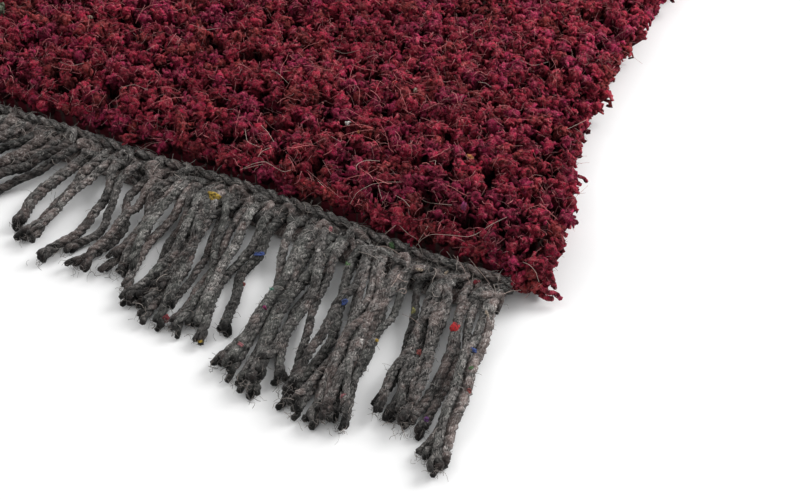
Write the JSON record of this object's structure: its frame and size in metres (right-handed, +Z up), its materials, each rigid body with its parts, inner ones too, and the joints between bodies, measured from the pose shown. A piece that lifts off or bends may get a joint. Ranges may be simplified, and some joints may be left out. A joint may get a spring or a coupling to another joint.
{
  "type": "nepalese rug",
  "caption": "Hand-knotted wool rug lying flat, with a dense wine-red shag pile, eared corners and a charcoal warp fringe at both ends.",
  "frame": {"origin": "on the floor under the middle of the rug, the point of the underside mount", "axes": "+X across the width, +Y along the length, from one fringed end to the other, +Z up through the pile"},
  "size_m": [0.6289, 1.0414, 0.0211],
  "materials": {
    "pile_wool": "matt curly wool pile",
    "fringe_wool": "matt heathered wool yarn"
  },
  "bodies": {
    "root": {"pile_field": "pile_wool", "fringe_front": "fringe_wool", "fringe_back": "fringe_wool", "twined_cord_front": "fringe_wool", "twined_cord_back": "fringe_wool"}
  },
  "joints": []
}
